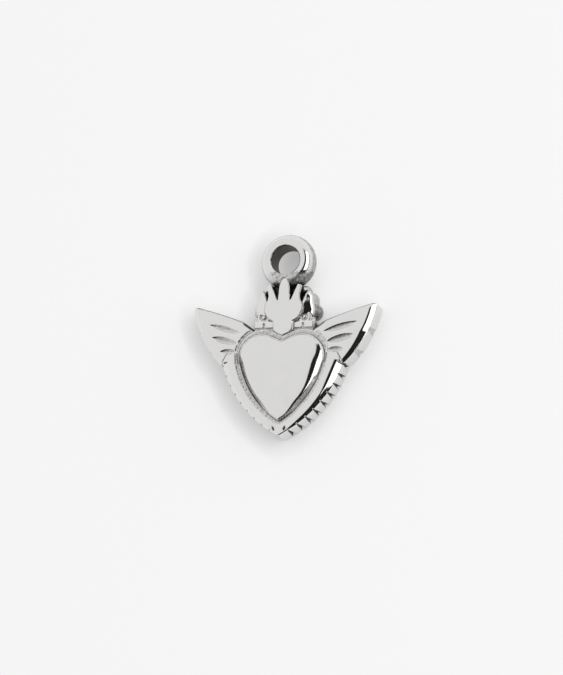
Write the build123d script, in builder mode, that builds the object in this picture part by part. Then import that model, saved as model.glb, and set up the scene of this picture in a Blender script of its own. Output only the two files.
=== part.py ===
from build123d import *
from math import cos, radians, sin, tan
import os

# Winged heart charm with a flame and a fixed ring, parted along the lines of its relief.
# Millimetres. The flat back lies on z = 0, the front faces +Z and the ring is towards +Y.

# Heights of the front faces above the flat back
plate_thickness = 1.2
heart_height = 2.25
border_height = 1.9
rim_height = 2.0
wing_height = 1.85
flame_height = 1.95
lobe_height = 1.75
curl_height = 1.72

# Heart, with its places along the charm's middle line
heart_width = 6.3
heart_top = -0.05
heart_tip = -6.36
heart_lobe_radius = 1.65
heart_lobe_start_angle = 112.8
heart_lobe_end_angle = 13
heart_shoulder = 0.6

# Bead that hugs the heart's top and sides
border_side_width = 0.2
border_top_lift = 0.2
border_overrun = 0.1
border_bevel = 0.05

# Lower shield and its rim
rim_tip_width = 1.04
shield_bulge = 0.7
rim_outer_bevel = 0.5
rim_inner_round = 0.2

# V notches in the rim's wall, wide at the back and narrow at the front
notch_count = 8
notch_pitch = 0.78
notch_width_back = 0.4
notch_width_front = 0.08
notch_depth_share = 0.8
notch_top = 1.8

# Right wing; the left one is its mirror image
wing_root = (4.5, -2.25)
wing_tip = (6.86, 2.24)
wing_shoulder = (3.05, 1.0)
wing_root_top = 0.42
wing_seam_knee = (4.08, -1.42)
wing_seam_start = (2.8, -1.34)
wing_outer_bulge = 0.41
wing_top_bulge = 0.06
wing_tip_round = 0.45
wing_edge_bevel = 0.36

# Shallow dents in the wing's wall where two feathers end, as shares of the outer edge
feather_ends = (0.25, 0.6)
feather_end_radius = 0.5
feather_end_depth = 0.07

# Chip-carved feather cuts: the end near the edge, the end at the root, and half the width
feather_cut_middle = 0.45
feather_cut_depth_share = 0.8
feather_cuts = [
    ((5.4, 0.75), (3.1, 0.12), 0.15),
    ((5.2, -0.17), (3.3, -0.65), 0.19),
    ((4.55, -1.2), (3.4, -1.22), 0.13),
]

# Right half of the flame, from the top of the centre tongue down to its foot on the border
flame_tip = (0, 4.07)
tongue_shoulder = (0.25, 3.8)
tongue_side = (0.41, 2.95)
tongue_gap = (0.47, 2.4)
side_tongue_tip = (0.99, 3.62)
side_tongue_end = (1.28, 3.52)
side_tongue_waist = (1.15, 2.75)
side_tongue_foot = (1.22, 2.42)
flame_bulb = (1.4, 1.95)
flame_waist = (0.76, 0.9)
flame_foot = (0.74, 0.3)
flame_bevel = 0.05

# Outer tongue and puffy lobe on the right of the flame
outer_tongue_foot = (1.72, 2.7)
outer_tongue_foot_radius = 0.43
outer_tongue_tip = (1.78, 3.15)
outer_tongue_tip_radius = 0.18
outer_tongue_bevel = 0.12
puff_center = (1.94, 1.85)
puff_radius = 0.57
puff_dome = 0.4

# Blocks and curl at the flame's foot on the right, with grooves between them
block_bottom = 0.2
block_height = 0.78
block_start = 0.82
block_width = 0.66
block_gap = 0.06
curl_middle = 1.4
curl_radius = 0.22
curl_gap = 0.05
curl_bevel = 0.1
curl_groove_floor = 1.42

# Neck of the back plate, from the heart up to the ring
neck_base_half_width = 2.24
neck_base_top = 1.02
neck_half_width = 1.5
neck_shoulder = 2.5
neck_top_half_width = 0.85
neck_top = 4.0

# Ring
ring_center = 5.4
ring_bore_radius = 1.05
ring_outer_radius = 2.0
ring_flat_radius = 1.5
ring_thickness = 1.9
ring_lift = 0.05
ring_bore_bevel = 0.05

os.makedirs("parts", exist_ok=True)

# Heart outline: a straight run out of the cleft, a round lobe and a long gentle side
lobe_x = heart_width / 2 - heart_lobe_radius
lobe_y = heart_top - heart_lobe_radius
lobe_start = lobe_x + heart_lobe_radius * cos(radians(heart_lobe_start_angle))
cleft_drop = lobe_start * tan(radians(heart_lobe_start_angle - 90))
heart_cleft = lobe_y + heart_lobe_radius * sin(radians(heart_lobe_start_angle)) - cleft_drop
with BuildSketch() as heart_outline:
    with BuildLine():
        lobe = CenterArc(
            (lobe_x, lobe_y),
            heart_lobe_radius,
            -heart_lobe_end_angle,
            heart_lobe_end_angle + heart_lobe_start_angle,
        )
        Line(lobe @ 1, (0, heart_cleft))
        TangentArc(lobe @ 0, (0, heart_tip), tangent=-(lobe % 0))
        mirror(about=Plane.YZ)
    make_face()

# Border outline: the heart's, a little larger and lifted, down to just below the lobes' ends
border_end = lobe_y - heart_lobe_radius * sin(radians(heart_lobe_end_angle)) - border_overrun
with BuildSketch() as border_outline:
    with Locations((0, border_top_lift)):
        add(heart_outline.sketch)
    offset(amount=border_side_width)
    with Locations((0, border_end)):
        Rectangle(
            2 * heart_width,
            2 * heart_width,
            align=(Align.CENTER, Align.MIN),
            mode=Mode.INTERSECT,
        )

# Plate outline: what lies under the heart and its border, and the neck up to the ring
with BuildSketch() as plate_outline:
    with BuildLine():
        Polyline(
            (0, heart_cleft),
            (neck_base_half_width, heart_cleft),
            (neck_base_half_width, neck_base_top),
            (neck_half_width, neck_base_top),
            (neck_half_width, neck_shoulder),
            (neck_top_half_width, neck_top),
            (0, neck_top),
        )
        mirror(about=Plane.YZ)
    make_face()
    add(heart_outline.sketch)
    add(border_outline.sketch)

# Ring body: flat front and back, round outside, still without its bore
ring_front = ring_lift + ring_thickness
ring_middle = ring_lift + ring_thickness / 2
with BuildPart() as ring_body:
    with BuildSketch(Plane.XZ.offset(-ring_center)):
        with BuildLine():
            Polyline(
                (ring_flat_radius, ring_lift),
                (0, ring_lift),
                (0, ring_front),
                (ring_flat_radius, ring_front),
            )
            ThreePointArc(
                (ring_flat_radius, ring_front),
                (ring_outer_radius, ring_middle),
                (ring_flat_radius, ring_lift),
            )
        make_face()
    revolve(axis=Axis((0, ring_center, 0), (0, 0, 1)))

# Back plate: its neck ends in a saddle that the ring sits in
with BuildPart() as back_plate:
    extrude(plate_outline.sketch, amount=plate_thickness)
    add(ring_body.part, mode=Mode.SUBTRACT)

# Heart: flat top with a soft shoulder all round
with BuildPart() as heart:
    with BuildSketch(Plane.XY.offset(plate_thickness)):
        add(heart_outline.sketch)
    extrude(amount=heart_height - plate_thickness)
    fillet(heart.faces().sort_by(Axis.Z)[-1].edges(), heart_shoulder)

# Border: a bead between the heart and what lies round its top
with BuildPart() as heart_border:
    with BuildSketch(Plane.XY.offset(plate_thickness)):
        add(border_outline.sketch)
        add(heart_outline.sketch, mode=Mode.SUBTRACT)
    extrude(amount=border_height - plate_thickness)
    chamfer(heart_border.faces().sort_by(Axis.Z)[-1].edges(), border_bevel)

# Right edge of the shield, from the wing root down to the tip
shield_tip = heart_tip - rim_tip_width
with BuildLine():
    shield_edge = SagittaArc(wing_root, (0, shield_tip), shield_bulge)

# One notch as a tapering wedge with its point towards the charm
with BuildPart() as notch_wedge:
    for level, width in ((0, notch_width_back), (notch_top, notch_width_front)):
        depth = width * notch_depth_share
        with BuildSketch(Plane.XY.offset(level)):
            with BuildLine():
                Polyline((-width, depth), (width, depth), (0, -depth), close=True)
            make_face()
    loft()

# Notches along the right edge, the first one at the wing root
notch_planes = []
for index in range(notch_count + 1):
    along = index * notch_pitch / shield_edge.length
    notch_planes.append(
        Plane(
            origin=shield_edge @ along,
            x_dir=shield_edge % along,
            z_dir=(0, 0, 1),
        )
    )
with BuildPart() as right_notches:
    with Locations(*notch_planes):
        add(notch_wedge.part)

# Rim: a bevelled moulding from wing root to wing root, with its notched wall
with BuildPart() as notched_rim:
    with BuildSketch():
        with BuildLine():
            add(shield_edge)
            Polyline(wing_root, wing_seam_knee, wing_seam_start, (0, lobe_y))
            mirror(about=Plane.YZ)
        make_face()
        add(heart_outline.sketch, mode=Mode.SUBTRACT)
        add(border_outline.sketch, mode=Mode.SUBTRACT)
    extrude(amount=rim_height)
    top_edges = notched_rim.faces().sort_by(Axis.Z)[-1].edges()
    chamfer(top_edges.sort_by(SortBy.LENGTH)[-2:], rim_outer_bevel)
    top_edges = notched_rim.faces().sort_by(Axis.Z)[-1].edges()
    fillet(top_edges.sort_by(SortBy.LENGTH)[-4:-2], rim_inner_round)
    add(right_notches.part, mode=Mode.SUBTRACT)
    add(mirror(right_notches.part, about=Plane.YZ, mode=Mode.PRIVATE), mode=Mode.SUBTRACT)

# Right wing: bevelled outer edge, root cut to the border, feather cuts in the face
with BuildPart() as right_wing:
    with BuildSketch():
        with BuildLine():
            outer_edge = SagittaArc(wing_root, wing_tip, -wing_outer_bulge)
            SagittaArc(wing_tip, wing_shoulder, -wing_top_bulge)
            Polyline(
                wing_shoulder,
                (neck_base_half_width, wing_root_top),
                (neck_base_half_width, lobe_y),
                wing_seam_start,
                wing_seam_knee,
                wing_root,
            )
        make_face()
        add(heart_outline.sketch, mode=Mode.SUBTRACT)
        add(border_outline.sketch, mode=Mode.SUBTRACT)
    extrude(amount=wing_height)
    fillet(right_wing.edges().filter_by(Axis.Z).sort_by(Axis.X)[-1], wing_tip_round)
    top_edges = right_wing.faces().sort_by(Axis.Z)[-1].edges()
    chamfer(top_edges.sort_by(Axis.X)[-1], wing_edge_bevel)
    add(right_notches.part, mode=Mode.SUBTRACT)
    for share in feather_ends:
        outward = (outer_edge % share).rotate(Axis.Z, -90)
        middle = outer_edge @ share + outward * (feather_end_radius - feather_end_depth)
        with Locations(middle):
            Cone(
                feather_end_radius,
                feather_end_radius - feather_end_depth,
                wing_height - wing_edge_bevel,
                align=(Align.CENTER, Align.CENTER, Align.MIN),
                mode=Mode.SUBTRACT,
            )
    for outer_end, root_end, half_width in feather_cuts:
        start = Vector(*outer_end, wing_height)
        run = Vector(*root_end, wing_height) - start
        middle = start + run * feather_cut_middle
        aside = run.normalized().rotate(Axis.Z, 90) * half_width
        with BuildSketch(Plane.XY.offset(wing_height)) as kite:
            with BuildLine():
                Polyline(start, middle + aside, start + run, middle - aside, close=True)
            make_face()
        deepest = middle - Vector(0, 0, half_width * feather_cut_depth_share)
        loft([kite.sketch, Vertex(*deepest)], mode=Mode.SUBTRACT)

with BuildPart() as left_wing:
    mirror(right_wing.part, about=Plane.YZ)

# Flame: a flat leaf with three tongues, its foot cut to the border
with BuildPart() as flame:
    with BuildSketch(Plane.XY.offset(plate_thickness)):
        with BuildLine():
            side = TangentArc(tongue_side, tongue_shoulder, tangent=(0, 1))
            TangentArc(tongue_shoulder, flame_tip, tangent=side % 1)
            Polyline(
                tongue_side,
                tongue_gap,
                side_tongue_tip,
                side_tongue_end,
                side_tongue_waist,
                side_tongue_foot,
            )
            ThreePointArc(side_tongue_foot, flame_bulb, flame_waist)
            Polyline(flame_waist, flame_foot, (0, heart_cleft))
            mirror(about=Plane.YZ)
        make_face()
        add(heart_outline.sketch, mode=Mode.SUBTRACT)
        add(border_outline.sketch, mode=Mode.SUBTRACT)
    extrude(amount=flame_height - plate_thickness)
    top_edges = flame.faces().sort_by(Axis.Z)[-1].edges()
    chamfer(top_edges.filter_by_position(Axis.Y, flame_waist[1], flame_tip[1]), flame_bevel)

# Puffy lobe on the right, domed like a button
with BuildPart() as puff:
    with BuildSketch(Plane(origin=puff_center, x_dir=(1, 0, 0), z_dir=(0, -1, 0))):
        with BuildLine():
            Polyline(
                (0, lobe_height),
                (0, 0),
                (puff_radius, 0),
                (puff_radius, lobe_height - puff_dome),
            )
            TangentArc((0, lobe_height), (puff_radius, lobe_height - puff_dome), tangent=(1, 0))
        make_face()
    revolve(axis=Axis(puff_center, (0, 0, 1)))

# Outer tongue with its lobe, cut to the plate and the flame
with BuildPart() as right_flame_lobes:
    with BuildSketch():
        with BuildLine():
            CenterArc(outer_tongue_foot, outer_tongue_foot_radius, 0, 360)
            CenterArc(outer_tongue_tip, outer_tongue_tip_radius, 0, 360)
        make_hull()
    extrude(amount=lobe_height)
    chamfer(right_flame_lobes.faces().sort_by(Axis.Z)[-1].edges(), outer_tongue_bevel)
    add(puff.part)
    add(back_plate.part, mode=Mode.SUBTRACT)
    add(flame.part, mode=Mode.SUBTRACT)

with BuildPart() as left_flame_lobes:
    mirror(right_flame_lobes.part, about=Plane.YZ)

# Two blocks and a curl at the flame's foot on the right, on one foot that is cut to the border
block_top = block_bottom + block_height
block_end = block_start + 2 * block_width + block_gap
curl_center = (curl_middle, block_top + curl_gap + curl_radius)
with BuildPart() as right_base_curls:
    with BuildSketch(Plane.XY.offset(plate_thickness)):
        for left in (block_start, block_start + block_width + block_gap):
            with Locations((left, block_bottom)):
                Rectangle(block_width, block_height, align=Align.MIN)
        with Locations(curl_center):
            Circle(curl_radius)
    extrude(amount=curl_height - plate_thickness)
    chamfer(right_base_curls.faces().group_by(Axis.Z)[-1].edges(), curl_bevel)
    with BuildSketch(Plane.XY.offset(plate_thickness)):
        with BuildLine():
            Polyline(
                (block_start, block_bottom),
                (block_end, block_bottom),
                (block_end, block_top),
                curl_center,
                (block_start, block_top),
                close=True,
            )
        make_face()
    extrude(amount=curl_groove_floor - plate_thickness)
    add(flame.part, mode=Mode.SUBTRACT)
    extrude(border_outline.sketch, amount=heart_height, mode=Mode.SUBTRACT)

with BuildPart() as left_base_curls:
    mirror(right_base_curls.part, about=Plane.YZ)

# Ring: bored through, bevelled at the bore's edges, with a seat for the flame's centre tongue
with BuildPart() as bail_ring:
    add(ring_body.part)
    with Locations((0, ring_center, ring_front)):
        Hole(ring_bore_radius)
    bore = bail_ring.faces().filter_by(GeomType.CYLINDER)[0]
    chamfer(bore.edges().filter_by(GeomType.CIRCLE), ring_bore_bevel)
    add(flame.part, mode=Mode.SUBTRACT)

pieces = {
    "back_plate": back_plate,
    "heart": heart,
    "heart_border": heart_border,
    "notched_rim": notched_rim,
    "left_wing": left_wing,
    "right_wing": right_wing,
    "flame": flame,
    "left_flame_lobes": left_flame_lobes,
    "right_flame_lobes": right_flame_lobes,
    "left_base_curls": left_base_curls,
    "right_base_curls": right_base_curls,
    "bail_ring": bail_ring,
}
for name, piece in pieces.items():
    piece.part.label = name
    export_step(piece.part, f"parts/{name}.step")
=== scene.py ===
from math import atan2, cos, pi, radians, sin, tan

import bpy
import numpy as np
from mathutils import Matrix, Vector


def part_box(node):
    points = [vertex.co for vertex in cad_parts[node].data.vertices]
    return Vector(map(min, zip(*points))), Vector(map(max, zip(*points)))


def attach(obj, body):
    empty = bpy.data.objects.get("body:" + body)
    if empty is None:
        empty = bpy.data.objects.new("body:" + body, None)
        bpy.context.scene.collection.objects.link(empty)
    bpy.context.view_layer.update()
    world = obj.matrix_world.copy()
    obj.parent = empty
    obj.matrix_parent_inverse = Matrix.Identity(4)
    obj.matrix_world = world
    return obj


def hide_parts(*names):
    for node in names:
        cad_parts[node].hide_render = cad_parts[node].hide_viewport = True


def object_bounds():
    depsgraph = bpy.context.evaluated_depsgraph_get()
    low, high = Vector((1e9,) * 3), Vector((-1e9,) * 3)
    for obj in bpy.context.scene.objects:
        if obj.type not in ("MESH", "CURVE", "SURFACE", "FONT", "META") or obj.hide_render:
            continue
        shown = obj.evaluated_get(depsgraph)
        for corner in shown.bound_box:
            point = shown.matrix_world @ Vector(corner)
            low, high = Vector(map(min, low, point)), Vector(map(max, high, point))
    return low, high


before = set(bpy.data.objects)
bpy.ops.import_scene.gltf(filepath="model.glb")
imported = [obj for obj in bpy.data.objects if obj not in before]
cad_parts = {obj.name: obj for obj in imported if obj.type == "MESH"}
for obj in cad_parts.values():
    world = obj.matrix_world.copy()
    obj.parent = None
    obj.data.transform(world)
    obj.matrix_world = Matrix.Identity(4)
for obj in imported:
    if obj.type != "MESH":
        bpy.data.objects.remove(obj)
cad_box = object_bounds()

# Winged heart charm in polished cast steel. Sizes are millimetres in the frame of the solids:
# the flat back on z = 0, the front facing +Z, the ring towards +Y.
MM = 0.001

# Spacing of the points that each piece's surface is drawn with, and the room left round the piece
point_spacing = 0.045
lattice_margin = 0.6
lattice_offset = 0.37

# Points along the curves of the outlines, and the least square of an edge's length that is divided by
heart_arc_points = 96
flame_arc_points = 32
tongue_points = 24
least_edge_square = 1e-12


def top_of(node):
    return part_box(node)[1].z / MM


# Heights taken from the solids
plate_top = top_of("back_plate")
heart_top_height = top_of("heart")
border_height = top_of("heart_border")
rim_height = top_of("notched_rim")
wing_height = top_of("left_wing")
flame_height = top_of("flame")
curl_height = top_of("left_base_curls")

# Heart
heart_width = 6.3
heart_top = -0.05
heart_tip = (0, -6.36)
heart_lobe_radius = 1.65
heart_lobe_start_angle = 112.8
heart_lobe_end_angle = -13
heart_crown = 0.02
heart_crown_reach = 2.4

# Shoulder of the heart at four places, from the tip up to the top of the lobes
shoulder_places = (-6.3, -4.8, -2.2, -0.8)
shoulder_radii = (0.05, 0.16, 0.7, 0.6)
shoulder_slopes = (58, 57, 44, 24)
shoulder_widths = (0.06, 0.38, 0.78, 0.4)

# Bead round the heart's top
border_width = 0.2
border_lift = 0.2
border_end = -2.17
border_outer_fall = 0.05
border_inner_fall = 0.1
border_fall_width = 0.1
border_round = 0.05
border_flame_span = (-0.05, 0.15)

# Shield and rim
wing_root = (4.5, -2.25)
shield_tip = (0, -7.4)
shield_bulge = 0.7
rim_shoulder_slope = 50
rim_shoulder_places = (0.4, 1.1, 1.6, 2.6, 3.2, 3.9, 4.2)
rim_shoulder_radii = (0.04, 0.08, 0.1, 0.15, 0.18, 0.2, 0.2)
rim_shoulder_widths = (0.06, 0.2, 0.27, 0.37, 0.44, 0.41, 0.3)
rim_edge_rounds = (0.03, 0.06, 0.08, 0.11, 0.12, 0.12, 0.12)
rim_inner_fall = 0.06
rim_inner_width = 0.12

# Flat ground on the rim's shoulder beside the wing root: a point on its upper edge, its slope and its end
rim_flat_place = (3.6, -3.16)
rim_flat_azimuth = -21.5
rim_flat_slope = 43
rim_flat_round = 0.095
rim_flat_end = ((4.126, -2.11), (4.44, -2.33))
rim_flat_climb = 1.5

# Nicks beside the rim's tip
tip_nick = ((0.48, -6.72), (0.34, -7.04), 0.06)

# V notches in the rim's wall
notch_count = 8
notch_pitch = 0.78
notch_width_back = 0.4
notch_width_front = 0.12
notch_depth_share = 0.8
notch_top = 1.8
notch_overrun = 1.2

# Right wing
wing_tip = (6.86, 2.24)
wing_shoulder = (3.05, 1.0)
wing_inner_top = (2.24, 0.42)
wing_seam_knee = (4.08, -1.42)
wing_seam_start = (2.8, -1.34)
wing_outer_bulge = 0.41
wing_top_bulge = 0.06
wing_top_round = 0.35
wing_tuck = 0.05
wing_shoulder_radius = 0.25
wing_shoulder_places = (-2.2, -0.9, 0.0, 0.5)
wing_shoulder_slopes = (29, 29, 30, 48)
wing_shoulder_widths = (0.26, 0.38, 0.46, 0.44)
feather_cuts = [
    ((5.4, 0.75), (3.1, 0.12), 0.15),
    ((5.2, -0.17), (3.3, -0.65), 0.19),
    ((4.55, -1.2), (3.4, -1.22), 0.13),
]
cut_depth_share = 0.42

# Shallow dents in the wing's wall where two feathers end, as shares of the outer edge
feather_ends = (0.25, 0.6)
feather_end_radius = 0.5
feather_end_depth = 0.07

# Flame, right half from the top of the centre tongue down to its foot
flame_tip = (0, 4.07)
tongue_side = (0.41, 2.95)
tongue_gap = (0.47, 2.4)
side_tongue_tip = (0.99, 3.62)
side_tongue_end = (1.28, 3.52)
side_tongue_side = (1.15, 2.75)
side_tongue_foot = (1.22, 2.42)
flame_bulb = (1.4, 1.95)
flame_waist = (0.76, 0.9)
flame_foot = (0.74, 0.3)

# Outer tongues beside the flame: a face sloping away from it, and three beads on the edge
lobe_outline = [
    (1.7, 3.14),
    (1.52, 2.94),
    (1.3, 2.36),
    (1.1, 2.1),
    (1.1, 1.4),
    (2.05, 1.4),
    (2.14, 1.8),
    (2.02, 2.3),
    (1.96, 2.8),
]
lobe_corner = 0.1
lobe_face_height = 1.86
lobe_slope = 0.34
lobe_edge_round = 0.3
beads = [
    ((1.3, 3.3, 0.6), (0.36, 0.4, 0.95)),
    ((1.74, 2.72, 0.6), (0.46, 0.46, 0.95)),
    ((1.94, 1.82, 0.55), (0.57, 0.6, 0.9)),
]

# Blocks and curl at the flame's foot
block_bottom = 0.44
block_height = 0.54
block_start = 0.7
block_width = 0.72
block_gap = 0.06
block_end = block_start + 2 * block_width + block_gap
curl_center = (1.5, 1.25)
curl_radius = 0.37
curl_thickness = 0.12
curl_bead = 0.15
curl_groove_floor = 1.65
curl_fillet = 0.05

# Neck of the back plate
neck_outline = [
    (2.24, -0.54),
    (2.24, 1.02),
    (1.5, 1.02),
    (1.5, 2.5),
    (0.85, 4.0),
]

# Ring
ring_center = 5.4
ring_bore_radius = 1.05
ring_outer_radius = 2.0
ring_flat_radius = 1.5
ring_thickness = 1.9
ring_lift = 0.05
ring_edge_round = 0.04
ring_bore_round = 0.05

# Softness of the edges
sharp_edge = 0.03
soft_edge = 0.07


# Outlines

def arc(center, radius, start_angle, end_angle, count):
    angles = np.radians(np.linspace(start_angle, end_angle, count))
    return np.column_stack((center[0] + radius * np.cos(angles), center[1] + radius * np.sin(angles)))


def circle_by_bulge(start, end, bulge):
    """Centre and radius of the arc from start to end that swells to the left by bulge."""
    start, end = np.array(start, float), np.array(end, float)
    half = np.hypot(*(end - start)) / 2
    radius = (half ** 2 + bulge ** 2) / (2 * abs(bulge))
    along = (end - start) / (2 * half)
    left = np.array((-along[1], along[0]))
    middle = (start + end) / 2 + left * bulge
    return middle - left * np.sign(bulge) * radius, radius


def arc_by_tangent(start, direction, end, count):
    """Arc from start, leaving along direction, to end."""
    start, end = np.array(start, float), np.array(end, float)
    normal = np.array((-direction[1], direction[0]))
    chord = end - start
    radius = chord @ chord / (2 * (chord @ normal))
    center = start + normal * radius
    first, last = start - center, end - center
    turn = atan2(first[0] * last[1] - first[1] * last[0], first @ last)
    angles = atan2(first[1], first[0]) + np.linspace(0, turn, count)
    return center + abs(radius) * np.column_stack((np.cos(angles), np.sin(angles)))


def arc_by_points(start, middle, end, count):
    start, middle, end = (np.array(p, float) for p in (start, middle, end))
    rows = 2 * np.array((middle - start, end - start))
    center = np.linalg.solve(rows, (middle @ middle - start @ start, end @ end - start @ start))
    turns = [atan2(*(p - center)[::-1]) for p in (start, middle, end)]
    turns = np.unwrap(turns)
    radius = np.hypot(*(start - center))
    return arc(center, radius, np.degrees(turns[0]), np.degrees(turns[2]), count)


def polygon_distance(x, y, corners):
    """Distance to a closed polygon, negative inside."""
    nearest, inside = np.inf, False
    for (ax, ay), (bx, by) in zip(corners, np.roll(corners, -1, axis=0)):
        along_x, along_y = bx - ax, by - ay
        square = max(along_x ** 2 + along_y ** 2, least_edge_square)
        share = np.clip(((x - ax) * along_x + (y - ay) * along_y) / square, 0, 1)
        nearest = np.minimum(nearest, np.hypot(x - ax - share * along_x, y - ay - share * along_y))
        inside = inside ^ (((ay > y) != (by > y)) & (x < ax + (y - ay) * along_x / (along_y or 1)))
    return np.where(inside, -nearest, nearest)


charm_low, charm_high = (np.array(v) / MM for v in cad_box)
table_spacing = 0.03
table_margin = 0.9
table_x = np.arange(0, charm_high[0] + table_margin, table_spacing)
table_y = np.arange(charm_low[1] - table_margin, charm_high[1] + table_margin, table_spacing)


def outline_field(right_half):
    """Function for the distance to a mirrored outline, read from a table made once."""
    right_half = np.array(right_half, float)
    outline = np.vstack((right_half, right_half[::-1] * (-1, 1)))
    table = polygon_distance(table_x[:, None], table_y[None, :], outline)

    def distance(x, y):
        across = np.abs(x) / table_spacing
        along = (y - table_y[0]) / table_spacing
        column, row = across.astype(int), along.astype(int)
        across, along = across - column, along - row
        near = table[column, row] * (1 - along) + table[column, row + 1] * along
        far = table[column + 1, row] * (1 - along) + table[column + 1, row + 1] * along
        return near * (1 - across) + far * across

    return distance


heart_lobe = arc(
    (heart_width / 2 - heart_lobe_radius, heart_top - heart_lobe_radius),
    heart_lobe_radius,
    heart_lobe_start_angle,
    heart_lobe_end_angle,
    heart_arc_points,
)
cleft_slope = tan(radians(heart_lobe_start_angle - 90))
heart_cleft = (0, heart_lobe[0][1] - heart_lobe[0][0] * cleft_slope)
heart_side = arc_by_tangent(
    heart_lobe[-1],
    (sin(radians(heart_lobe_end_angle)), -cos(radians(heart_lobe_end_angle))),
    heart_tip,
    heart_arc_points,
)
heart_distance = outline_field(np.vstack((heart_cleft, heart_lobe, heart_side)))
tongue_curve = [
    (tongue_side[0] * sin(t), tongue_side[1] + (flame_tip[1] - tongue_side[1]) * cos(t))
    for t in np.linspace(0, pi / 2, tongue_points)
]
flame_distance = outline_field(
    np.vstack(
        (
            tongue_curve,
            tongue_gap,
            side_tongue_tip,
            side_tongue_end,
            side_tongue_side,
            arc_by_points(side_tongue_foot, flame_bulb, flame_waist, flame_arc_points),
            flame_foot,
            heart_cleft,
        )
    )
)
neck_distance = outline_field(neck_outline)
shield_circle = circle_by_bulge(wing_root, shield_tip, shield_bulge)
wing_outer_circle = circle_by_bulge(wing_root, wing_tip, -wing_outer_bulge)
wing_top_circle = circle_by_bulge(wing_tip, wing_shoulder, -wing_top_bulge)


# Ways of joining shapes; a shape is negative inside and about as large as the distance outside

def both(first, second, round_radius=sharp_edge):
    """What lies in both shapes, with its edge rounded."""
    a, b = first + round_radius, second + round_radius
    return np.minimum(np.maximum(a, b), 0) + np.hypot(np.maximum(a, 0), np.maximum(b, 0)) - round_radius


def either(first, second, fillet_radius=0.0):
    """What lies in one shape or the other, with a fillet between them."""
    return -both(-first, -second, fillet_radius)


def without(first, second, round_radius=sharp_edge):
    return both(first, -second, round_radius)


def circle_distance(x, y, circle):
    center, radius = circle
    return np.hypot(x - center[0], y - center[1]) - radius


def left_of(x, y, start, end):
    """Distance to the left of the line from start to end, negative on its right."""
    run = np.subtract(end, start) / np.hypot(*np.subtract(end, start))
    return run[0] * (y - start[1]) - run[1] * (x - start[0])


def shoulder_fall(run, radius, slope, width):
    """How far a shoulder has fallen at a run out from its flat: a rounded edge, then a slope."""
    run, slope = np.clip(run, 0, width), np.radians(slope)
    on_edge = np.minimum(run, radius * np.sin(slope))
    return radius - np.sqrt(radius ** 2 - on_edge ** 2) + (run - on_edge) * np.tan(slope)


def step_share(value, start, end):
    """0 at start, 1 at end, smooth between."""
    share = np.clip((value - start) / (end - start), 0, 1)
    return share * share * (3 - 2 * share)


def near_edge(distance, width):
    """1 on an edge, easing to 0 at a width inside it."""
    return np.clip(1 + distance / width, 0, 1) ** 2


def smooth_between(value, places, numbers):
    """Number that belongs to a value, easing from each place to the next."""
    total = numbers[0]
    for place, next_place, number, next_number in zip(places, places[1:], numbers, numbers[1:]):
        total = total + (next_number - number) * step_share(value, place, next_place)
    return total


# Pieces

def border_distance(x, y):
    grown = heart_distance(x, y - border_lift) - border_width
    return np.maximum(grown, border_end - y)


def heart_shoulder(y):
    rows = (shoulder_radii, shoulder_slopes, shoulder_widths)
    return [smooth_between(y, shoulder_places, row) for row in rows]


def heart(x, y, z):
    edge = heart_distance(x, y)
    radius, slope, width = heart_shoulder(y)
    fall = shoulder_fall(width + edge, radius, slope, width)
    fall = fall + heart_crown * near_edge(edge, heart_crown_reach)
    block = both(edge, z - heart_top_height + fall)
    return both(block, plate_top - z)


def heart_border(x, y, z):
    outer, inner = border_distance(x, y), -heart_distance(x, y)
    middle = np.maximum(outer, inner)
    clear_of_flame = step_share(flame_distance(x, y), *border_flame_span)
    outer_fall = border_outer_fall * near_edge(outer, border_fall_width) * clear_of_flame
    inner_fall = border_inner_fall * near_edge(inner, border_fall_width)
    ridge = z - border_height + np.maximum(outer_fall, inner_fall)
    return both(both(middle, ridge, border_round), plate_top - z)


def shield_distance(x, y):
    return circle_distance(np.abs(x), y, shield_circle)


def notch(x, y, z, origin, tangent):
    """One wedge that is open outwards, wide at the back and narrow at the front."""
    share = np.clip(z / notch_top, 0, notch_overrun)
    width = notch_width_back + (notch_width_front - notch_width_back) * share
    depth = width * notch_depth_share
    along = (x - origin[0]) * tangent[0] + (y - origin[1]) * tangent[1]
    outward = (y - origin[1]) * tangent[0] - (x - origin[0]) * tangent[1]
    slope = width / (2 * depth)
    return (np.abs(along) - slope * (outward + depth)) / np.sqrt(1 + slope ** 2)


def notches(x, y, z):
    center, radius = shield_circle
    first = atan2(wing_root[1] - center[1], wing_root[0] - center[0])
    cut = np.inf
    for index in range(notch_count + 1):
        angle = first - index * notch_pitch / radius
        origin = center + radius * np.array((cos(angle), sin(angle)))
        tangent = (sin(angle), -cos(angle))
        cut = np.minimum(cut, notch(np.abs(x), y, z, origin, tangent))
    return cut


def leaf_cut(x, y, z, height, outer_end, root_end, half_width):
    """Leaf-shaped cut into a face at a height, deepest in its middle."""
    start, end = np.array(outer_end), np.array(root_end)
    length = np.hypot(*(end - start))
    run = (end - start) / length
    along = (x - start[0]) * run[0] + (y - start[1]) * run[1]
    across = (x - start[0]) * -run[1] + (y - start[1]) * run[0]
    radius = (length ** 2 / 4 + half_width ** 2) / (2 * half_width)
    spread = np.hypot(across, (z - height) / cut_depth_share)
    return np.hypot(along - length / 2, spread + radius - half_width) - radius


def rim_shoulder(x):
    side = np.abs(x)
    radius = np.interp(side, rim_shoulder_places, rim_shoulder_radii)
    width = np.interp(side, rim_shoulder_places, rim_shoulder_widths)
    edge_round = np.interp(side, rim_shoulder_places, rim_edge_rounds)
    return radius, width, edge_round


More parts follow.
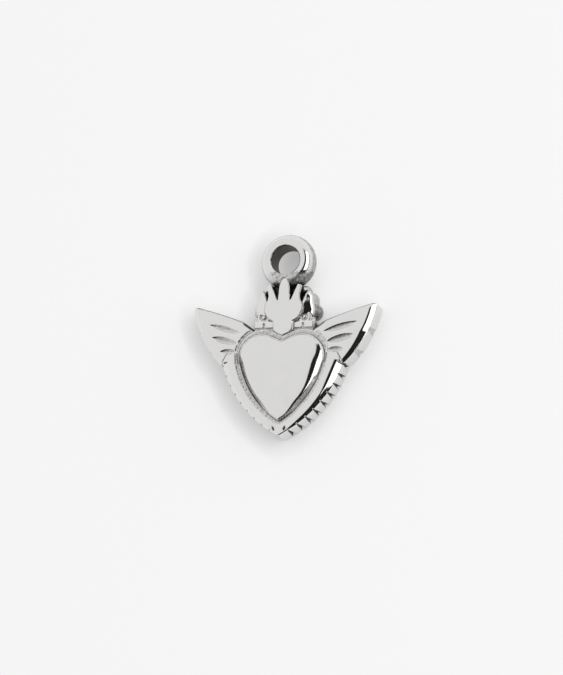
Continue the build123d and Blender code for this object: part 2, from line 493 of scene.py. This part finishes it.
def rim_flat(x, y, z):
    """Distance in front of the flat ground on the rim's shoulder."""
    turn, slope = radians(rim_flat_azimuth), radians(rim_flat_slope)
    out = (np.abs(x) - rim_flat_place[0]) * cos(turn) + (y - rim_flat_place[1]) * sin(turn)
    beyond = np.maximum(left_of(np.abs(x), y, *rim_flat_end), 0)
    return out * sin(slope) + (z - rim_height) * cos(slope) - rim_flat_climb * beyond


def tip_nicks(x, y, z):
    return leaf_cut(np.abs(x), y, z, rim_height, *tip_nick)


def rim_seam(x, y):
    """Distance above the seam between rim and wing, negative on the rim's side."""
    side = np.abs(x)
    upper = -left_of(side, y, wing_seam_knee, wing_seam_start)
    lower = -left_of(side, y, wing_root, wing_seam_knee)
    return np.maximum(upper, lower)


def notched_rim(x, y, z):
    edge = shield_distance(x, y)
    radius, width, edge_round = rim_shoulder(x)
    fall = shoulder_fall(width + edge, radius, rim_shoulder_slope, width)
    fall = fall + rim_inner_fall * near_edge(-heart_distance(x, y), rim_inner_width)
    face = both(z - rim_height + fall, rim_flat(x, y, z), rim_flat_round)
    body = both(edge, face, edge_round)
    body = without(body, tip_nicks(x, y, z))
    body = without(body, notches(x, y, z))
    body = without(body, heart_distance(x, y))
    body = without(body, border_distance(x, y))
    body = both(body, rim_seam(x, y))
    return both(body, -z, soft_edge)


def feathers(x, y, z):
    return np.minimum.reduce([leaf_cut(x, y, z, wing_height, *cut) for cut in feather_cuts])


def feather_dents(x, y, z):
    """Upright hollows in the wing's wall that narrow towards the front."""
    center, radius = wing_outer_circle
    turns = [atan2(point[1] - center[1], point[0] - center[0]) for point in (wing_root, wing_tip)]
    reach = feather_end_radius - feather_end_depth * np.clip(z / wing_height, 0, 1)
    hollow = np.inf
    for share in feather_ends:
        turn = turns[0] + (turns[1] - turns[0]) * share
        away = radius + feather_end_radius - feather_end_depth
        middle = center + away * np.array((cos(turn), sin(turn)))
        hollow = np.minimum(hollow, np.hypot(x - middle[0], y - middle[1]) - reach)
    return hollow


def wing_top(x, y):
    """Distance above the wing's upper edge."""
    root = -left_of(x, y, wing_shoulder, wing_inner_top)
    return np.maximum(circle_distance(x, y, wing_top_circle), root)


def right_wing(x, y, z):
    outer = circle_distance(x, y, wing_outer_circle)
    width = np.interp(y, wing_shoulder_places, wing_shoulder_widths)
    slope = np.interp(y, wing_shoulder_places, wing_shoulder_slopes)
    fall = shoulder_fall(width + outer, wing_shoulder_radius, slope, width)
    face = both(outer, z - wing_height + fall)
    face = both(face, wing_top(x, y), wing_top_round)
    body = without(face, feather_dents(x, y, z))
    body = without(body, feathers(x, y, z), soft_edge)
    body = without(body, notches(x, y, z))
    body = without(body, heart_distance(x, y))
    body = without(body, border_distance(x, y) + wing_tuck)
    body = both(body, wing_inner_top[0] - x)
    body = without(body, rim_seam(x, y))
    return both(body, -z, soft_edge)


def flame(x, y, z):
    block = both(flame_distance(x, y), z - flame_height)
    block = without(block, heart_distance(x, y))
    block = without(block, border_distance(x, y))
    return both(block, plate_top - z)


def plate_distance(x, y):
    area = np.minimum(heart_distance(x, y), border_distance(x, y))
    return np.minimum(area, neck_distance(x, y))


def ellipsoid(x, y, z, center, radii):
    reach = sum(((v - c) / r) ** 2 for v, c, r in zip((x, y, z), center, radii))
    return (np.sqrt(reach) - 1) * min(radii)


def right_flame_lobes(x, y, z):
    flame_gap = flame_distance(x, y)
    face = z - lobe_face_height + lobe_slope * np.clip(flame_gap, 0, 1)
    body = both(polygon_distance(x, y, lobe_outline) - lobe_corner, face, lobe_edge_round)
    for center, radii in beads:
        body = either(body, ellipsoid(x, y, z, center, radii), soft_edge)
    body = without(body, np.maximum(plate_distance(x, y), z - plate_top))
    body = without(body, np.maximum(flame_gap, plate_top - z))
    return both(body, -z, soft_edge)


def rectangle_distance(x, y, low, high):
    return np.maximum(np.maximum(low[0] - x, x - high[0]), np.maximum(low[1] - y, y - high[1]))


def right_base_curls(x, y, z):
    block_top = block_bottom + block_height
    spread = np.hypot(x - curl_center[0], y - curl_center[1])
    tops = np.minimum(np.abs(spread - curl_radius) - curl_thickness, spread - curl_bead)
    for left in (block_start, block_start + block_width + block_gap):
        block = rectangle_distance(x, y, (left, block_bottom), (left + block_width, block_top))
        tops = np.minimum(tops, block)
    tops = both(tops, z - curl_height, soft_edge)
    foot = rectangle_distance(x, y, (block_start, 0), (block_end, curl_center[1]))
    foot = np.minimum(foot, spread - curl_radius - curl_thickness)
    foot = both(foot, z - curl_groove_floor, soft_edge)
    body = either(tops, foot, curl_fillet)
    body = without(body, flame_distance(x, y))
    body = without(body, border_distance(x, y))
    return both(body, plate_top - z)


def ring_solid(x, y, z):
    """Ring without its bore: flat faces and a round outside."""
    spread = np.hypot(x, y - ring_center)
    half = ring_thickness / 2
    level = z - ring_lift - half
    flat2, outer2 = ring_flat_radius ** 2 + half ** 2, ring_outer_radius ** 2
    middle = (flat2 - outer2) / (2 * (ring_flat_radius - ring_outer_radius))
    side = np.hypot(spread - middle, level) - (ring_outer_radius - middle)
    side = np.where(spread > middle, side, -1)
    return both(side, np.abs(level) - half, ring_edge_round)


def bail_ring(x, y, z):
    spread = np.hypot(x, y - ring_center)
    body = without(ring_solid(x, y, z), spread - ring_bore_radius, ring_bore_round)
    seat = np.maximum(flame_distance(x, y), plate_top - z)
    return without(body, seat)


def back_plate(x, y, z):
    body = both(plate_distance(x, y), np.abs(z - plate_top / 2) - plate_top / 2)
    return without(body, ring_solid(x, y, z))


def mirrored(shape):
    def left_shape(x, y, z):
        return shape(-x, y, z)

    return left_shape


shapes = {
    "back_plate": back_plate,
    "heart": heart,
    "heart_border": heart_border,
    "notched_rim": notched_rim,
    "left_wing": mirrored(right_wing),
    "right_wing": right_wing,
    "flame": flame,
    "left_flame_lobes": mirrored(right_flame_lobes),
    "right_flame_lobes": right_flame_lobes,
    "left_base_curls": mirrored(right_base_curls),
    "right_base_curls": right_base_curls,
    "bail_ring": bail_ring,
}


# Meshes

def lattice(low, high, spacing):
    """Points along each axis, clear of the box's faces and never quite on a whole number."""
    margin = lattice_margin + lattice_offset * spacing
    return [np.arange(a - margin, b + margin + spacing, spacing) for a, b in zip(low, high)]


def field_on(shape, axes):
    x, y, z = axes
    values = shape(x[:, None, None], y[None, :, None], z[None, None, :])
    return np.ascontiguousarray(np.broadcast_to(values, (len(x), len(y), len(z))))


def net(field):
    """Points and quads of the surface where the field changes sign, in lattice steps."""
    cells = np.array(field.shape) - 1
    keys, places, quads = [], [], []
    for axis in range(3):
        near = np.take(field, range(field.shape[axis] - 1), axis)
        far = np.take(field, range(1, field.shape[axis]), axis)
        crossing = np.argwhere((near < 0) != (far < 0))
        first, second = near[tuple(crossing.T)], far[tuple(crossing.T)]
        place = crossing.astype(float)
        place[:, axis] += first / (first - second)
        corners = []
        for step in ((0, 0), (1, 0), (1, 1), (0, 1)):
            cell = crossing.copy()
            cell[:, (axis + 1) % 3] -= step[0]
            cell[:, (axis + 2) % 3] -= step[1]
            corners.append(np.ravel_multi_index(cell.T, cells))
        corners = np.stack(corners, 1)
        keys.append(corners.ravel())
        places.append(np.repeat(place, 4, axis=0))
        quads.append(np.where((first < 0)[:, None], corners[:, ::-1], corners))
    keys, places, quads = (np.concatenate(v) for v in (keys, places, quads))
    used, index = np.unique(keys, return_inverse=True)
    count = np.bincount(index)
    points = np.stack([np.bincount(index, places[:, i]) for i in range(3)], 1) / count[:, None]
    return points, np.searchsorted(used, quads)


def slope_of(shape, points, step=0.004):
    """Value and gradient of a shape at points."""
    value = shape(*points.T)
    gradient = np.empty_like(points)
    for axis in range(3):
        ahead, behind = points.copy(), points.copy()
        ahead[:, axis] += step
        behind[:, axis] -= step
        gradient[:, axis] = (shape(*ahead.T) - shape(*behind.T)) / (2 * step)
    return value, gradient


# How points settle on the surface: rounds, and the least slope and length that are divided by
settling_rounds = 2
least_slope = 0.05
least_length = 1e-6


def surface(shape, low, high, spacing):
    """Points on the shape's surface, the quads between them and the outward directions."""
    axes = lattice(low, high, spacing)
    points, quads = net(field_on(shape, axes))
    points = np.array([a[0] for a in axes]) + points * spacing
    for _ in range(settling_rounds):
        value, gradient = slope_of(shape, points)
        size = np.maximum((gradient ** 2).sum(1), least_slope)
        move = gradient * (value / size)[:, None]
        points -= np.clip(move, -spacing / 2, spacing / 2)
    gradient = slope_of(shape, points)[1]
    outward = gradient / np.maximum(np.linalg.norm(gradient, axis=1, keepdims=True), least_length)
    return points, quads, outward


def trilinear(field, axes, points, short_of_end=1.001):
    """Field value at points between those of its lattice."""
    spacing = axes[0][1] - axes[0][0]
    place = (points - [a[0] for a in axes]) / spacing
    place = np.clip(place, 0, np.array(field.shape) - short_of_end)
    base = place.astype(int)
    share = place - base
    total = 0
    for corner in np.ndindex(2, 2, 2):
        weight = np.prod(np.where(corner, share, 1 - share), axis=1)
        total = total + weight * field[tuple((base + corner).T)]
    return total


def add_piece(name, points, quads, attributes):
    mesh = bpy.data.meshes.new(name)
    mesh.from_pydata((points * MM).tolist(), [], quads.tolist())
    mesh.update()
    mesh.polygons.foreach_set("use_smooth", np.ones(len(mesh.polygons), bool))
    for title, values in attributes.items():
        layer = mesh.attributes.new(title, "FLOAT", "POINT")
        layer.data.foreach_set("value", values.astype(np.float32))
    piece = bpy.data.objects.new("charm_" + name, mesh)
    bpy.context.scene.collection.objects.link(piece)
    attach(piece, "root")
    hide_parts(name)
    return piece


# How closed in each point is, from the room in front of it
union_spacing = 0.07
union_headroom = 0.3
union_axes = lattice(charm_low, charm_high + (0, 0, union_headroom), union_spacing)
union = np.min([field_on(shape, union_axes) for shape in shapes.values()], axis=0)
recess_reach = (0.12, 0.24, 0.4)


def closeness(points, outward):
    total = 0
    for reach in recess_reach:
        room = trilinear(union, union_axes, points + outward * reach)
        total = total + np.clip(1 - room / reach, 0, 1)
    return total / len(recess_reach)


# Painted shade: how dark it is, and the span over which it sets in
bore_shade_span = (0.06, 0.01)
ring_edge_shade = 0.76
ring_edge_shade_span = (-0.35, -0.05)
ring_neck_shade = 0.84
ring_neck_shade_turn = -42
ring_neck_shade_span = (1.55, 1.9)
notch_wall_span = (0.05, 0.02)
notch_depth_span = (0.0, 0.06)
nick_span = (0.04, 0.0)
dent_shade = 0.7
dent_span = (0.04, 0.01)
wing_edge_shade = 0.85
wing_edge_span = (-0.15, -0.06)
wing_edge_level = (-0.5, -0.2)
wing_root_span = (0.26, 0.12)
wing_root_side = (3.2, 2.9)
tongue_wall_level = (-0.08, -0.2)
tongue_wall_start = (2.2, 2.5)
lobe_shade_share = 0.72
lobe_foot_shade = 0.11
lobe_foot_span = (2.4, 2.1)
lobe_shade_level = (1.62, 1.4)
foot_corner_side = (-0.08, -0.02)
foot_corner_span = (0.95, 0.8)
plate_shade_level = (-0.1, -0.05)
curl_shade_level = (-0.15, -0.3)


def ring_painted_shade(x, y, z):
    """Painted shade on the bore's wall, on the band round the outside and beside the flame towards the
    neck.
    """
    spread = np.hypot(x, y - ring_center)
    # Painted shade: on the bore's wall, on the band round the outer edge (skin) and beside the flame
    # towards the neck
    bore = step_share(spread - ring_bore_radius, *bore_shade_span)
    skin = ring_edge_shade * step_share(spread - ring_outer_radius, *ring_edge_shade_span)
    turn = radians(ring_neck_shade_turn)
    neck_shade = step_share(x * cos(turn) + (y - ring_center) * sin(turn), *ring_neck_shade_span)
    return np.maximum.reduce((bore, skin, ring_neck_shade * neck_shade))


def notch_painted_shade(x, y, z):
    """Painted shade by how deep a point lies in a notch or a nick."""
    near_notch = step_share(np.abs(notches(x, y, z)), *notch_wall_span)
    in_notch = near_notch * step_share(-shield_distance(x, y), *notch_depth_span)
    return np.maximum(in_notch, step_share(tip_nicks(x, y, z), *nick_span))


def wing_painted_shade(x, y, z):
    """Painted shade in the dents, and on the walls along the wing's upper edge and root."""
    side = np.abs(x)
    dents = step_share(feather_dents(side, y, z), *dent_span)
    upper = step_share(wing_top(side, y), *wing_edge_span) * step_share(z - wing_height, *wing_edge_level)
    root = step_share(left_of(side, y, wing_shoulder, wing_inner_top), *wing_root_span)
    root = root * step_share(side, *wing_root_side)
    return np.maximum.reduce((dent_shade * dents, wing_edge_shade * upper, root))


def flame_painted_shade(x, y, z):
    """Painted shade on the walls of the gaps between the tongues."""
    return step_share(z - flame_height, *tongue_wall_level) * step_share(y, *tongue_wall_start)


def lobe_painted_shade(x, y, z):
    """Painted shade on the lower walls, darkest towards the foot."""
    share = lobe_shade_share + lobe_foot_shade * step_share(y, *lobe_foot_span)
    return share * step_share(z, *lobe_shade_level)


def foot_corner(x, y):
    """Wall of the flame's foot in the corner above a wing's root, where painted shade is put."""
    return step_share(np.abs(x) - block_end, *foot_corner_side) * step_share(y, *foot_corner_span)


# Painted shade on the plate near its top face, which shows between the pieces, and in the corner above a
# wing's root
def plate_painted_shade(x, y, z):
    return np.maximum(step_share(z - plate_top, *plate_shade_level), foot_corner(x, y))


# Painted shade on the curls' lower walls in the corner above a wing's root
def curl_painted_shade(x, y, z):
    return step_share(z - curl_height, *curl_shade_level) * foot_corner(x, y)


# Painted shade put on each piece
painted_shade = {
    "bail_ring": ring_painted_shade,
    "notched_rim": notch_painted_shade,
    "left_wing": wing_painted_shade,
    "right_wing": wing_painted_shade,
    "back_plate": plate_painted_shade,
    "flame": flame_painted_shade,
    "right_flame_lobes": lobe_painted_shade,
    "left_base_curls": curl_painted_shade,
    "right_base_curls": curl_painted_shade,
}


# Cast skin that no wheel has polished: the span over which it sets in
bevel_skin_share = 0.7
bevel_skin_span = (-2.9, -3.5)
heart_edge_skin = (-0.14, -0.05)
rim_skin_span = (0.45, 0.05)
wing_root_skin = 0.6
wing_skin_span = (0.3, 0.05)
feather_skin_span = (0.04, 0.0)
border_skin = 0.8
flame_edge_skin = (-0.12, -0.03)
flame_skin_span = (1.9, 1.4)
lobe_skin_level = (1.6, 1.4)
curl_skin_level = (-0.005, -0.04)
ring_skin_start = (-0.7, -1.3)


def heart_cast(x, y, z):
    radius, _, width = heart_shoulder(y)
    edge = heart_distance(x, y)
    bevel = step_share(width + edge, radius * bevel_skin_share, radius) * step_share(y, *bevel_skin_span)
    return np.maximum(bevel, step_share(edge, *heart_edge_skin))


def border_cast(x, y, z):
    return np.full(len(x), border_skin)


def rim_cast(x, y, z):
    return step_share(heart_distance(x, y), *rim_skin_span)


def wing_cast(x, y, z):
    root = step_share(border_distance(x, y), *wing_skin_span)
    return np.maximum(wing_root_skin * root, step_share(feathers(np.abs(x), y, z), *feather_skin_span))


def flame_cast(x, y, z):
    return step_share(flame_distance(x, y), *flame_edge_skin) * step_share(y, *flame_skin_span)


def lobe_cast(x, y, z):
    return step_share(z, *lobe_skin_level)


def curl_cast(x, y, z):
    return step_share(z - curl_height, *curl_skin_level)


def ring_cast(x, y, z):
    return step_share(y - ring_center, *ring_skin_start)


cast = {
    "heart": heart_cast,
    "notched_rim": rim_cast,
    "left_wing": wing_cast,
    "right_wing": wing_cast,
    "flame": flame_cast,
    "heart_border": border_cast,
    "left_base_curls": curl_cast,
    "right_base_curls": curl_cast,
    "left_flame_lobes": lobe_cast,
    "right_flame_lobes": lobe_cast,
    "bail_ring": ring_cast,
}

# How dark the painted shade in the creases of a piece is, where it is lighter than on others
crease_shade = {
    "heart": 0.5,
    "heart_border": 0.5,
    "notched_rim": 0.6,
    "left_wing": 0.55,
    "right_wing": 0.55,
    "flame": 0.6,
    "left_base_curls": 0.3,
    "right_base_curls": 0.3,
}

pieces = {}
for name, shape in shapes.items():
    low, high = (np.array(corner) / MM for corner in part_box(name))
    points, quads, outward = surface(shape, low, high, point_spacing)
    # Painted shade in the creases by how closed in each point is, with each piece's own painted shade on
    # top; it also dulls the gloss
    painted_shade_level = closeness(points, outward) * crease_shade.get(name, 1)
    if name in painted_shade:
        painted_shade_level = np.maximum(painted_shade_level, painted_shade[name](*points.T))
    skin = cast[name](*points.T) if name in cast else 0
    skin = np.maximum(skin, painted_shade_level)
    pieces[name] = add_piece(name, points, quads, {"painted_shade_level": painted_shade_level, "cast": skin})


# Materials: scale of the mottle and of the wheel's patches, how both act on colour, gloss and pits, and
# the colour of the painted shade
mottle_scale = 5200
mottle_detail = 4
mottle_share = 0.4
dark_span = (0.75, 1.2)
patch_scale = 1300
patch_detail = 6
patch_span = (0.3, 0.75)
patch_roughness = (0.7, 1.4)
pit_span = (0.0, 0.8)
pit_share = (0.05, 1.0)
pit_depth = 0.05
painted_shade_color = (0.08, 0.072, 0.06)


def steel(name, color, roughness, cast_roughness):
    """Cast steel, polished where a wheel reaches, duller on the cast skin, and dark with painted shade in
    the recesses and other shaded places.
    """
    material = bpy.data.materials.new(name)
    material.use_nodes = True
    nodes, links = material.node_tree.nodes, material.node_tree.links
    shader = nodes["Principled BSDF"]
    shader.inputs["Metallic"].default_value = 1.0
    place = nodes.new("ShaderNodeTexCoord")

    def noise(scale, detail):
        texture = nodes.new("ShaderNodeTexNoise")
        texture.inputs["Scale"].default_value = scale
        texture.inputs["Detail"].default_value = detail
        links.new(place.outputs["Object"], texture.inputs["Vector"])
        return texture.outputs["Fac"]

    def attribute(title):
        reader = nodes.new("ShaderNodeAttribute")
        reader.attribute_name = title
        return reader.outputs["Fac"]

    def math(operation, *values):
        step = nodes.new("ShaderNodeMath")
        step.operation = operation
        for socket, value in zip(step.inputs, values):
            if isinstance(value, float):
                socket.default_value = value
            else:
                links.new(value, socket)
        return step.outputs[0]

    def spread(value, low, high, to_low=0.0, to_high=1.0):
        change = nodes.new("ShaderNodeMapRange")
        change.interpolation_type = "SMOOTHSTEP"
        change.inputs["From Min"].default_value = low
        change.inputs["From Max"].default_value = high
        change.inputs["To Min"].default_value = to_low
        change.inputs["To Max"].default_value = to_high
        links.new(value, change.inputs["Value"])
        return change.outputs["Result"]

    mottle = noise(mottle_scale, mottle_detail)
    # Painted shade: the base colour darkens towards the painted shade colour, with the mottle breaking up
    # its edge
    dark = spread(math("MULTIPLY_ADD", mottle, mottle_share, attribute("painted_shade_level")), *dark_span)
    painted_shade_mix = nodes.new("ShaderNodeMix")
    painted_shade_mix.data_type = "RGBA"
    painted_shade_mix.inputs["A"].default_value = (*color, 1)
    painted_shade_mix.inputs["B"].default_value = (*painted_shade_color, 1)
    links.new(dark, painted_shade_mix.inputs["Factor"])
    links.new(painted_shade_mix.outputs["Result"], shader.inputs["Base Color"])
    skin = attribute("cast")
    polish = nodes.new("ShaderNodeMix")
    polish.inputs["B"].default_value = cast_roughness
    links.new(skin, polish.inputs["Factor"])
    patches = noise(patch_scale, patch_detail)
    gloss = spread(patches, *patch_span, *(roughness * share for share in patch_roughness))
    links.new(gloss, polish.inputs["A"])
    links.new(polish.outputs["Result"], shader.inputs["Roughness"])
    pits = math("MULTIPLY", mottle, spread(skin, *pit_span, *pit_share))
    bump = nodes.new("ShaderNodeBump")
    bump.inputs["Distance"].default_value = pit_depth * MM
    bump.inputs["Strength"].default_value = 1.0
    links.new(pits, bump.inputs["Height"])
    links.new(bump.outputs["Normal"], shader.inputs["Normal"])
    return material


polished_steel = steel("polished_steel", color=(0.78, 0.775, 0.765), roughness=0.1, cast_roughness=0.45)
satin_steel = steel("satin_steel", color=(0.68, 0.675, 0.665), roughness=0.3, cast_roughness=0.42)
for name, piece in pieces.items():
    satin = name == "back_plate"
    piece.data.materials.append(satin_steel if satin else polished_steel)


# Stage: a pale floor that darkens beside the charm, with real shadow in its diffuse part and a painted
# shadow in its glow, a studio round it and a softbox on the right
floor_size = 3.0
floor_gap = 0.01
paper_shade = 0.45
floor_glow = 0.67
# Painted shadow: the glow is dimmed by ambient occlusion about a direction tilted towards the softbox
floor_shade = 0.65
floor_shade_reach = 1.8
floor_shade_azimuth = 8
floor_shade_elevation = 35


def direction(azimuth, elevation):
    a, e = radians(azimuth), radians(elevation)
    return Vector((cos(e) * cos(a), cos(e) * sin(a), sin(e)))


def floor_material():
    material = bpy.data.materials.new("paper")
    material.use_nodes = True
    nodes, links = material.node_tree.nodes, material.node_tree.links
    nodes.clear()
    paper = nodes.new("ShaderNodeBsdfDiffuse")
    paper.inputs["Color"].default_value = (paper_shade, paper_shade, paper_shade, 1)
    glow = nodes.new("ShaderNodeEmission")
    glow.inputs["Color"].default_value = (1, 1, 1, 1)
    path = nodes.new("ShaderNodeLightPath")
    seen = nodes.new("ShaderNodeMath")
    seen.operation = "MAXIMUM"
    links.new(path.outputs["Is Camera Ray"], seen.inputs[0])
    links.new(path.outputs["Is Glossy Ray"], seen.inputs[1])
    # Painted shadow: ambient occlusion, about a normal tilted towards the softbox, dims the glow beside
    # the charm
    room = nodes.new("ShaderNodeAmbientOcclusion")
    room.inputs["Distance"].default_value = floor_shade_reach * MM
    tilt = nodes.new("ShaderNodeCombineXYZ")
    for socket, value in zip(tilt.inputs, direction(floor_shade_azimuth, floor_shade_elevation)):
        socket.default_value = value
    links.new(tilt.outputs["Vector"], room.inputs["Normal"])
    shade = nodes.new("ShaderNodeMapRange")
    shade.inputs["To Min"].default_value = floor_glow * (1 - floor_shade)
    shade.inputs["To Max"].default_value = floor_glow
    links.new(room.outputs["AO"], shade.inputs["Value"])
    level = nodes.new("ShaderNodeMath")
    level.operation = "MULTIPLY"
    links.new(seen.outputs[0], level.inputs[0])
    links.new(shade.outputs["Result"], level.inputs[1])
    links.new(level.outputs[0], glow.inputs["Strength"])
    total = nodes.new("ShaderNodeAddShader")
    links.new(paper.outputs[0], total.inputs[0])
    links.new(glow.outputs[0], total.inputs[1])
    output = nodes.new("ShaderNodeOutputMaterial")
    links.new(total.outputs[0], output.inputs["Surface"])
    return material


floor_mesh = bpy.data.meshes.new("floor")
half_floor = floor_size / 2
floor_mesh.from_pydata(
    [(x * half_floor, y * half_floor, 0) for x, y in ((-1, -1), (1, -1), (1, 1), (-1, 1))],
    [],
    [(0, 1, 2, 3)],
)
floor = bpy.data.objects.new("floor", floor_mesh)
floor.location.z = -floor_gap * MM
floor.data.materials.append(floor_material())
bpy.context.scene.collection.objects.link(floor)

# Studio: bright all round, with the dark side that the camera stands in
room_light = 1.1
backdrop_light = 0.93
dark_side_light = 0.02
dark_side_azimuth = -37
dark_side_elevation = 35
dark_side_reach = 68
dark_side_blur = 5


def studio():
    world = bpy.data.worlds.new("studio")
    bpy.context.scene.world = world
    world.use_nodes = True
    nodes, links = world.node_tree.nodes, world.node_tree.links
    nodes.clear()
    place = nodes.new("ShaderNodeTexCoord")
    toward = nodes.new("ShaderNodeVectorMath")
    toward.operation = "DOT_PRODUCT"
    toward.inputs[1].default_value = direction(dark_side_azimuth, dark_side_elevation)
    links.new(place.outputs["Generated"], toward.inputs[0])
    shade = nodes.new("ShaderNodeMapRange")
    shade.interpolation_type = "SMOOTHSTEP"
    shade.inputs["From Min"].default_value = cos(radians(dark_side_reach + dark_side_blur))
    shade.inputs["From Max"].default_value = cos(radians(dark_side_reach - dark_side_blur))
    shade.inputs["To Min"].default_value = room_light
    shade.inputs["To Max"].default_value = dark_side_light
    links.new(toward.outputs["Value"], shade.inputs["Value"])
    path = nodes.new("ShaderNodeLightPath")
    level = nodes.new("ShaderNodeMix")
    level.inputs["B"].default_value = backdrop_light
    links.new(path.outputs["Is Camera Ray"], level.inputs["Factor"])
    links.new(shade.outputs["Result"], level.inputs["A"])
    light = nodes.new("ShaderNodeBackground")
    links.new(level.outputs["Result"], light.inputs["Strength"])
    output = nodes.new("ShaderNodeOutputWorld")
    links.new(light.outputs[0], output.inputs["Surface"])


def softbox(name, azimuth, elevation, distance, width, height, radiance):
    lamp = bpy.data.lights.new(name, "AREA")
    lamp.shape = "RECTANGLE"
    lamp.size, lamp.size_y = width, height
    lamp.energy = radiance * pi * width * height
    light = bpy.data.objects.new(name, lamp)
    away = direction(azimuth, elevation)
    light.location = away * distance
    light.rotation_euler = away.to_track_quat("Z", "Y").to_euler()
    bpy.context.scene.collection.objects.link(light)


studio()
softbox("softbox", azimuth=8, elevation=28, distance=0.4, width=0.46, height=0.275, radiance=1.8)

# Camera: a long lens, seen from the photograph's direction
photo_size = (563, 675)
pixels_per_mm = 14.0
frame_origin_pixel = (290.22, 339.46)
view_tilt = 21
view_azimuth = -37
view_roll = 2.3
camera_distance = 300


def photo_camera():
    toward = direction(view_azimuth, 90 - view_tilt)
    up = (Vector((0, 1, 0)) - toward * toward.y).normalized()
    right = up.cross(toward)
    roll = radians(view_roll)
    right, up = right * cos(roll) + up * sin(roll), up * cos(roll) - right * sin(roll)
    aside = (photo_size[0] / 2 - frame_origin_pixel[0]) / pixels_per_mm
    above = (frame_origin_pixel[1] - photo_size[1] / 2) / pixels_per_mm
    target = right * aside + up * above
    lens = bpy.data.cameras.new("camera")
    lens.sensor_fit = "VERTICAL"
    lens.sensor_height = 24
    lens.lens = lens.sensor_height * camera_distance * pixels_per_mm / photo_size[1]
    lens.clip_start = 0.01
    camera = bpy.data.objects.new("camera", lens)
    turn = Matrix((right, up, toward)).transposed().to_4x4()
    camera.matrix_world = Matrix.Translation((target + toward * camera_distance) * MM) @ turn
    bpy.context.scene.collection.objects.link(camera)
    bpy.context.scene.camera = camera


photo_camera()
bpy.context.scene.view_settings.view_transform = "Standard"
